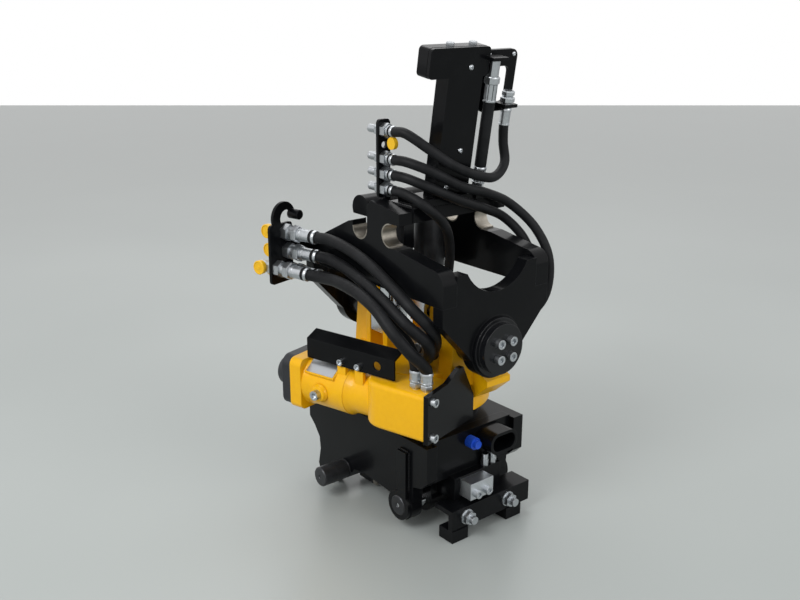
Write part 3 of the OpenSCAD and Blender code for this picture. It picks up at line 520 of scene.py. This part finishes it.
def sweepTube(name, line, radius):
    form = bmesh.new()
    rings, side = [], Vector((0.3, 0.5, 0.81))  # any way that no hose runs along
    angles = [2 * math.pi * k / hoseMesh["sides"] for k in range(hoseMesh["sides"])]
    for i, point in enumerate(line):
        way = (line[min(i + 1, len(line) - 1)] - line[max(i - 1, 0)]).normalized()
        side = (side - side.dot(way) * way).normalized()
        up = way.cross(side)
        rings.append([form.verts.new(point + radius * (math.cos(a) * side + math.sin(a) * up))
                      for a in angles])
    closeRings(form, rings)
    return linkForm(name, form, slotFinish["hose_rubber"])


for name, hose in hoses.items():
    line = smoothRoute(hose["route"], hose["first"], hose["last"])
    tube = sweepTube(name + "_tube", line, hose["diameter"] / 2000)
    if hose["bends"]:
        start, end = (Vector(point) / 1000 for point in hose["bends"])
        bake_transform(tube)
    else:
        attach(tube, "upper_frame")
    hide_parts(name)
    length = sum((b - a).length for a, b in zip(line, line[1:]))
print("hoses laid:", len(hoses))


# small forms turned about an axis: sleeves, nuts, rims, screw heads and fillets

def mmSpace(steps):
    space = Matrix.Identity(4)
    for kind, value in steps:
        if kind == "move":
            space = space @ Matrix.Translation(Vector(value) / 1000)
        else:
            space = space @ Matrix.Rotation(math.radians(value), 4, kind)
    return space


wormSteps = [("move", (0, 0, wormTube["height"])), ("Z", wormTube["turn"]),
             ("move", (0, -wormTube["out"], 0))]
rearSteps = [("move", (rearBracket["x"], rearBracket["y"], 0)), ("Z", rearBracket["turn"])]
towerSteps = [("move", (tower["x"], 0, tower["z"])), ("Y", tower["lean"])]
sharpDegrees = {"turned": 38, "cover": 50, "head": 40}  # a steeper edge than this is drawn sharp


def turnForm(name, profile, steps, body, slot, sides=32, flats=0, material=None):
    # profile holds (along, radius) in mm, and a dent where jaws pressed; the axis is the space's X
    space = mmSpace(steps)
    form = bmesh.new()
    rings = []
    for along, radius, *dents in profile:
        ring = []
        for k in range(sides):
            a = 2 * math.pi * (k + 0.5) / sides
            r = radius - sum(dents) * abs(math.sin(flats * a / 2))
            ring.append(form.verts.new(space @ (Vector((along, r * math.cos(a), r * math.sin(a))) / 1000)))
        rings.append(ring)
    closeRings(form, rings)
    bmesh.ops.recalc_face_normals(form, faces=form.faces)
    isRound = sides > 6
    piece = linkForm(name, form, material or slotFinish[slot], isRound)
    if isRound:
        piece.data.set_sharp_from_angle(angle=math.radians(sharpDegrees["turned"]))
    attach(piece, body)


def crimpSleeve(name, steps, a, b, r, body):
    # ferrule from a to b, squeezed on the hose by eight jaws, with a collar at each end
    profile = [(a, r - 0.8), (a + 0.8, r + 0.8), (a + 3.5, r + 0.8), (a + 4.2, r + 0.3, 0.9),
               (b - 6, r + 0.3, 0.9), (b - 5.2, r + 0.9), (b - 1.2, r + 0.9), (b, r + 0.2)]
    turnForm(name, profile, steps, body, "zinc", 48, 8)


def bareBand(name, steps, a, b, r, body):
    # hose cover left bare between a ferrule and its end ring
    profile = [(a, r - 0.6), (a + 0.5, r + 0.6), (b - 0.5, r + 0.6), (b, r - 0.6)]
    turnForm(name, profile, steps, body, "hose_rubber", 48)


def hexNut(name, steps, a, b, acrossFlats, body):
    # nut with turned chamfers at both faces
    r, chamfer, faceShare = acrossFlats / 2 / math.cos(math.pi / 6), 1.4, 0.88
    profile = [(a, faceShare * r), (a + chamfer, r), (b - chamfer, r), (b, faceShare * r)]
    turnForm(name, profile, steps, body, "zinc", 6)


def buttonScrew(name, steps, r, body):
    # domed head with a round socket
    profile = [(-1, r), (0.8, r), (0.42 * r, 0.86 * r), (0.6 * r, 0.6 * r), (0.62 * r, 0.42 * r),
               (0.25 * r, 0.40 * r), (0.2 * r, 0.1 * r)]
    turnForm(name, profile, steps, body, "zinc", 24)


# fittings at the hose ends: nut, ferrule, bare band, and the grooved stem behind the bracket
# a nut has its two ends and width across flats, a sleeve or band its two ends and radius
rearFit = {"nut": (30, 44, 30.4), "sleeve": (48, 87, 12.6), "band": (74, 81.6, 12.6),
           "stem": [(-40, 8), (-38.5, 11.3), (-32, 11.3), (-31, 9.8), (-29, 9.8), (-28, 11.3), (-20, 11.3)]}
riserFit = {"sleeve": (21, 36, 9.6), "band": (25.2, 30.6, 9.6),
            "stem": [(-35.5, 5), (-34.5, 7.7), (-29, 7.7), (-28, 6), (-26, 6), (-25, 7.8), (-18, 7.8)]}
motorFit = {"sleeve": (64, 86, 11.2), "nut": (53, 63, 20.6)}
uprightFit = {"topSleeve": (182, 228, 11.5), "topNut": (214, 227, 25), "footSleeve": (30, 62, 11.5)}
loopFit = {"sleeve": (136, 168, 9.6), "nut": (178, 188, 24), "topNut": (190, 199, 21)}
for i, (side, height) in enumerate(rearBracket["ports"]):
    at = rearSteps + [("move", (0, side, height))]
    hexNut("rearNut%d" % i, at, *rearFit["nut"], "upper_frame")
    crimpSleeve("rearSleeve%d" % i, at, *rearFit["sleeve"], "upper_frame")
    bareBand("rearBand%d" % i, at, *rearFit["band"], "upper_frame")
    turnForm("rearStem%d" % i, rearFit["stem"], at, "upper_frame", "zinc")
for i, height in enumerate(riserStrip["heights"]):
    at = [("move", (riserStrip["x"], riserStrip["y"], height))]
    crimpSleeve("riserSleeve%d" % i, at, *riserFit["sleeve"], "upper_frame")
    bareBand("riserBand%d" % i, at, *riserFit["band"], "upper_frame")
    turnForm("riserStem%d" % i, riserFit["stem"], at, "upper_frame", "zinc")
for i, along in enumerate(wormTube["ports"]):
    at = wormSteps + [("move", (along, -wormTube["portOut"], 0)), ("Y", -90)]
    crimpSleeve("motorSleeve%d" % i, at, *motorFit["sleeve"], "housing")
    hexNut("motorNut%d" % i, at, *motorFit["nut"], "housing")
upright = towerSteps + [("move", (tower["hoseX"], tower["uprightY"], 0)), ("Y", -90)]
crimpSleeve("uprightTopSleeve", upright, *uprightFit["topSleeve"], "upper_frame")
hexNut("uprightTopNut", upright, *uprightFit["topNut"], "upper_frame")
crimpSleeve("uprightFootSleeve", upright, *uprightFit["footSleeve"], "upper_frame")
looped = towerSteps + [("move", (tower["hoseX"], tower["loopY"], 0)), ("Y", -90)]
crimpSleeve("loopSleeve", looped, *loopFit["sleeve"], "upper_frame")
hexNut("loopNut", looped, *loopFit["nut"], "upper_frame")
hexNut("loopTopNut", looped, *loopFit["topNut"], "upper_frame")

# screws of the tower and its guard
towerScrews = {
    "front": {"places": [(8, 3, 246), (8, 2, 97), (8, -22, 30), (8, 18, 30)], "radius": 5.2},
    "top": {"places": [(-12, -34, 281), (-12, 19, 281)], "nut": (-1, 6, 13)},
    "guard": {"places": [(-6, 58, 262), (-6, 118, 262)], "radius": 4.2},
}
for i, place in enumerate(towerScrews["front"]["places"]):
    at = towerSteps + [("move", place)]
    buttonScrew("towerScrew%d" % i, at, towerScrews["front"]["radius"], "upper_frame")
for i, place in enumerate(towerScrews["top"]["places"]):
    at = towerSteps + [("move", place), ("Y", -90)]
    hexNut("towerTopNut%d" % i, at, *towerScrews["top"]["nut"], "upper_frame")
for i, place in enumerate(towerScrews["guard"]["places"]):
    at = towerSteps + [("move", place)]
    buttonScrew("guardScrew%d" % i, at, towerScrews["guard"]["radius"], "upper_frame")

# raised rim and centre boss of each dust cap
dustCap = {"back": -27, "beside": -19,
           "profile": [(-1, 14.2), (0.9, 14.2), (1.7, 13.2), (1.7, 11.6), (0.3, 10.8), (0.2, 4), (1.2, 3.4),
                       (1.4, 0.5)]}
for i, (side, height) in enumerate(rearBracket["ports"]):
    at = rearSteps + [("move", (dustCap["back"], side + dustCap["beside"], height)), ("Z", -90)]
    turnForm("capRim%d" % i, dustCap["profile"], at, "upper_frame", "cap_plastic", 40)

# ends of the two tool pins: chamfered, with the lathe's centre hole
toolPins = {"height": 50, "radius": 20.4, "tip": [(1.6, 18.4), (1.7, 5), (-0.8, 3), (-1.2, 0.4)],
            "pins": {"frontPin": (92, 134, 12.6), "rearPin": (-96, 186, 30)}}  # x, reach, covered length
for name, (x, reach, length) in toolPins["pins"].items():
    for end, way in (("Near", -1), ("Far", 1)):
        at = [("move", (x, way * reach, toolPins["height"])), ("Z", way * 90)]
        barrel = [(-length, toolPins["radius"]), (-0.4, toolPins["radius"])]
        turnForm(name + end, barrel + toolPins["tip"], at, "hitch", "dark_steel", 48)

# ends of the tilt cylinders' lever pins, each with its spring ring against the lug
leverPin = {"height": 380, "ends": [(-78, 180, -60), (-78, 180, 60), (-2, 0, -60), (-2, 0, 60)],
            "profile": [(-2.8, 12.1), (-2.8, 15.6), (-1.3, 15.6), (-1.3, 12.4), (-0.6, 12.3), (0.7, 11),
                        (0.8, 3.4), (-1.2, 2), (-1.4, 0.3)]}
for i, (x, turn, side) in enumerate(leverPin["ends"]):
    at = [("move", (x, side, leverPin["height"])), ("Z", turn)]
    turnForm("leverPinEnd%d" % i, leverPin["profile"], at, "housing", "dark_steel", 40)

# round bar welded across the tip of the rear bracket's hook
turnForm("hookBar", [(-3.4, 0.4), (-3.4, 8.6), (-2, 10), (22.4, 10), (24, 8.4), (24, 0.4)],
         rearSteps + [("move", (0, 31, 573))], "upper_frame", "black_paint", 40)

# cast fillets round the worm tube, the boss of its plug, and its black cap with four screws
turnForm("neckFillet", [(-66, 49.6), (-56, 50.3), (-49, 48.6), (-43, 45), (-34, 43.4), (-22, 42.6)],
         wormSteps, "housing", "yellow_paint", 64)
turnForm("flangeFillet", [(-151, 53.6), (-147, 52.6), (-142, 50.8), (-132, 49.7)],
         wormSteps, "housing", "yellow_paint", 64)
turnForm("plugBoss", [(50, 19), (54, 16.4), (58.2, 15.2), (58.8, 13.6)],
         wormSteps + [("move", (-104, 0, -4)), ("Z", -90)], "housing", "yellow_paint", 40)
capScrew = {"along": -200, "out": 39, "radius": 7}
for i, (y, z) in enumerate([(-1, -1), (-1, 1), (1, -1), (1, 1)]):
    at = wormSteps + [("move", (capScrew["along"], y * capScrew["out"], z * capScrew["out"])), ("Z", 180)]
    buttonScrew("capScrew%d" % i, at, capScrew["radius"], "housing")
turnForm("capDome", [(199, 36), (203, 34.4), (212, 33.4), (214, 31), (232, 30), (235.4, 27.6), (236, 12),
                     (233, 10), (232.8, 0.5)],
         wormSteps + [("Z", 180)], "housing", "black_paint", 48, material=capLacquer)
print("turned details fitted")

# motor cover: the casting's plan drawn level by level, so its edges come out round
cover = {"turnX": 38, "endX": 142, "out": -54, "inside": 44, "shoulder": 4, "noseY": -8, "noseR": 46,
         "low": -40, "high": 50, "edge": 9, "noseSteps": 24, "edgeSteps": 6}


def coverLevel(c, inset):
    rim = [(c["endX"], c["out"] + inset)]
    r = c["noseR"] - inset
    for k in range(c["noseSteps"] + 1):
        a = math.radians(270 - 180 * k / c["noseSteps"])
        rim.append((c["turnX"] + r * math.cos(a), c["noseY"] + r * math.sin(a)))
    return rim + [(c["turnX"] + c["shoulder"], c["inside"] - inset), (c["endX"], c["inside"] - inset)]


def castCover(c):
    space = mmSpace(wormSteps)
    bottom = []
    for k in range(c["edgeSteps"], -1, -1):
        a = math.radians(90 * k / c["edgeSteps"])
        bottom.append((c["low"] + c["edge"] * (1 - math.sin(a)), c["edge"] * (1 - math.cos(a))))
    top = [(c["high"] - (z - c["low"]), inset) for z, inset in reversed(bottom)]
    form = bmesh.new()
    rings = [[form.verts.new(space @ (Vector((x, y, z)) / 1000)) for x, y in coverLevel(c, inset)]
             for z, inset in bottom + top]
    closeRings(form, rings)
    bmesh.ops.recalc_face_normals(form, faces=form.faces)
    piece = linkForm("castMotorCover", form, slotFinish["yellow_paint"])
    piece.data.set_sharp_from_angle(angle=math.radians(sharpDegrees["cover"]))
    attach(piece, "housing")
    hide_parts("motor_cover")


castCover(cover)
print("motor cover cast")

# tower head: the band folded back round the head's edge
headFold = {"low": 229, "high": 281, "left": -92, "right": 46, "stem": (-46, 34),
            "corner": 8, "cornerSteps": 6, "depth": 24.5, "sheet": 3.2, "proud": 0.4}


def headRim(f, inset):
    rim = [(f["stem"][0], f["low"] + inset)]
    corners = ((f["left"], f["low"], 1, 1, 270), (f["left"], f["high"], 1, -1, 180),
               (f["right"], f["high"], -1, -1, 90), (f["right"], f["low"], -1, 1, 0))
    r = f["corner"]
    for y, z, toY, toZ, start in corners:
        for k in range(f["cornerSteps"] + 1):
            a = math.radians(start - 90 * k / f["cornerSteps"])
            rim.append((y + toY * r + (r - inset) * math.cos(a), z + toZ * r + (r - inset) * math.sin(a)))
    return rim + [(f["stem"][1], f["low"] + inset)]


def foldHead(f):
    space = mmSpace(towerSteps)
    form = bmesh.new()
    loops = []
    for rim in (headRim(f, -f["proud"]), headRim(f, f["sheet"])):
        for x in (f["proud"], -f["depth"]):
            loops.append([form.verts.new(space @ (Vector((x, y, z)) / 1000)) for y, z in rim])
    outFront, outBack, inFront, inBack = loops
    for a, b in ((outFront, outBack), (outBack, inBack), (inBack, inFront), (inFront, outFront)):
        for k in range(len(a) - 1):
            form.faces.new((a[k], a[k + 1], b[k + 1], b[k]))
    for k in (0, -1):
        form.faces.new((outFront[k], outBack[k], inBack[k], inFront[k]))
    bmesh.ops.recalc_face_normals(form, faces=form.faces)
    piece = linkForm("towerHeadFold", form, slotFinish["black_paint"])
    piece.data.set_sharp_from_angle(angle=math.radians(sharpDegrees["head"]))
    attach(piece, "upper_frame")


foldHead(headFold)
print("tower head folded")

# weld beads: painted over, rippled along their length
bead = {"ringMm": 1.2, "fewest": 6, "sides": 10, "poolMm": 5.5, "ripple": 0.12, "tip": 0.35, "taper": 9}


def bothSides(body, radius, start, end):
    # the same bead on the near side and on the far side
    return [(body, radius, (start[0], way * start[1], start[2]), (end[0], way * end[1], end[2]))
            for way in (-1, 1)]


def armBeads(way):
    # round the top of the strap that carries the front pin
    return [("hitch", 3.6, (88, way * 125, 84), (88, way * 125, 168)),
            ("hitch", 3.6, (114, way * 125, 84), (114, way * 125, 168)),
            ("hitch", 4.2, (89, way * 125.5, 168), (113, way * 125.5, 168))]


welds = (bothSides("upper_frame", 4.0, (184, 97, 420), (184, 97, 505))
         + bothSides("upper_frame", 4.0, (12, 97, 628), (88, 97, 628))
         + bothSides("upper_frame", 4.0, (12, 97, 602), (88, 97, 602))
         + bothSides("upper_frame", 3.2, (34, 84, 628.4), (92, 84, 628.4))
         + [("upper_frame", 3.2, (92.4, -80, 627.6), (92.4, 80, 627.6))]
         + bothSides("upper_frame", 4.0, (-184, 97, 420), (-184, 97, 492))
         + armBeads(-1) + armBeads(1))


def layWeld(name, body, radius, start, end):
    a, b = Vector(start) / 1000, Vector(end) / 1000
    length = (b - a).length
    count = max(bead["fewest"], int(length / (bead["ringMm"] / 1000)))
    way = (b - a).normalized()
    side = Vector((0.2, 0.6, 0.77))  # any way that no bead runs along
    side = (side - side.dot(way) * way).normalized()
    up = way.cross(side)
    angles = [2 * math.pi * j / bead["sides"] for j in range(bead["sides"])]
    form = bmesh.new()
    rings = []
    for k in range(count + 1):
        along = k / count
        wave = math.sin(along * length * 1000 * 2 * math.pi / bead["poolMm"])  # one pool each turn
        ripple = 1 - bead["ripple"] + bead["ripple"] * wave
        taper = min(1.0, bead["tip"] + bead["taper"] * min(along, 1 - along))
        r = radius * ripple * taper / 1000
        rings.append([form.verts.new(a + (b - a) * along + r * (math.cos(t) * side + math.sin(t) * up))
                      for t in angles])
    closeRings(form, rings)
    piece = linkForm(name, form, slotFinish["black_paint"])
    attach(piece, body)


for i, weld in enumerate(welds):
    layWeld("weldBead%d" % i, *weld)
print("welds laid:", len(welds))

# floor and light: a pale grey floor that ends before a white backdrop, and soft lamps
floor = {"pale": "#AEB3B1", "dark": "#9DA3A1", "cloudMm": 900,
         "near": 3.0, "reach": 8.8, "half": 9.0}  # metres behind, ahead of and beside the camera
lamps = {
    "keyLamp": {"place": (0.3, -2.6, 2.6), "target": (0, 0, 0.45), "size": 1.6, "watts": 60},
    "fillLamp": {"place": (2.9, 0.6, 1.8), "target": (0, 0, 0.45), "size": 1.8, "watts": 26},
    "topLamp": {"place": (-1.2, 0.8, 3.0), "target": (0, 0, 0.5), "size": 2.2, "watts": 30},
}
backdrop = {"white": "#FFFFFF", "seen": 1.0, "glow": 0.58}


def polishedConcrete():
    # troweled concrete: broad pale clouds with a soft sheen
    material, tree, place = startMaterial("polishedConcrete")
    cloud = addNode(tree, "ShaderNodeTexNoise",
                    {"Scale": perMetre(floor["cloudMm"]), "Detail": 2, "Roughness": 0.4}, {"Vector": place})
    colour = addNode(tree, "ShaderNodeMix",
                     {"data_type": "RGBA", 6: toLinear(floor["dark"]), 7: toLinear(floor["pale"])},
                     {0: cloud.outputs["Fac"]})
    rough = addNode(tree, "ShaderNodeMapRange", {"To Min": 0.27, "To Max": 0.33},
                    {"Value": cloud.outputs["Fac"]})
    finishMaterial(tree, {}, {"Base Color": colour.outputs[2], "Roughness": rough.outputs["Result"]})
    return material


def layFloor():
    azimuth = math.radians(photoView["azimuth"])
    ahead = Vector((-math.sin(azimuth), math.cos(azimuth), 0))
    side = Vector((math.cos(azimuth), math.sin(azimuth), 0))
    foot = Vector((photoView["place"][0], photoView["place"][1], 0))
    corners = ((-floor["near"], -floor["half"]), (-floor["near"], floor["half"]),
               (floor["reach"], floor["half"]), (floor["reach"], -floor["half"]))
    form = bmesh.new()
    form.faces.new([form.verts.new(foot + ahead * far + side * out) for far, out in corners])
    linkForm("studioFloor", form, polishedConcrete(), False)


def hangLamp(name, look):
    data = bpy.data.lights.new(name, "AREA")
    data.shape, data.size, data.energy = "DISK", look["size"], look["watts"]
    lamp = bpy.data.objects.new(name, data)
    lamp.location = look["place"]
    lamp.rotation_euler = (Vector(look["target"]) - Vector(look["place"])).to_track_quat("-Z", "Y").to_euler()
    bpy.context.scene.collection.objects.link(lamp)


def hangBackdrop():
    # white where the camera, gloss or glass sees it, and a plain soft light on everything else
    world = bpy.data.worlds.new("whiteBackdrop")
    world.use_nodes = True
    tree = world.node_tree
    tree.nodes.clear()
    path = addNode(tree, "ShaderNodeLightPath")
    direct = addNode(tree, "ShaderNodeMath", {"operation": "MAXIMUM"},
                     {0: path.outputs["Is Camera Ray"], 1: path.outputs["Is Transmission Ray"]})
    seen = addNode(tree, "ShaderNodeMath", {"operation": "MAXIMUM"},
                   {0: direct.outputs["Value"], 1: path.outputs["Is Glossy Ray"]})
    strength = addNode(tree, "ShaderNodeMapRange", {"To Min": backdrop["glow"], "To Max": backdrop["seen"]},
                       {"Value": seen.outputs["Value"]})
    glow = addNode(tree, "ShaderNodeBackground", {"Color": toLinear(backdrop["white"])},
                   {"Strength": strength.outputs["Result"]})
    addNode(tree, "ShaderNodeOutputWorld", None, {"Surface": glow.outputs["Background"]})
    bpy.context.scene.world = world


layFloor()
for name, look in lamps.items():
    hangLamp(name, look)
hangBackdrop()
bpy.context.scene.view_settings.view_transform = "Standard"
print("studio lit")
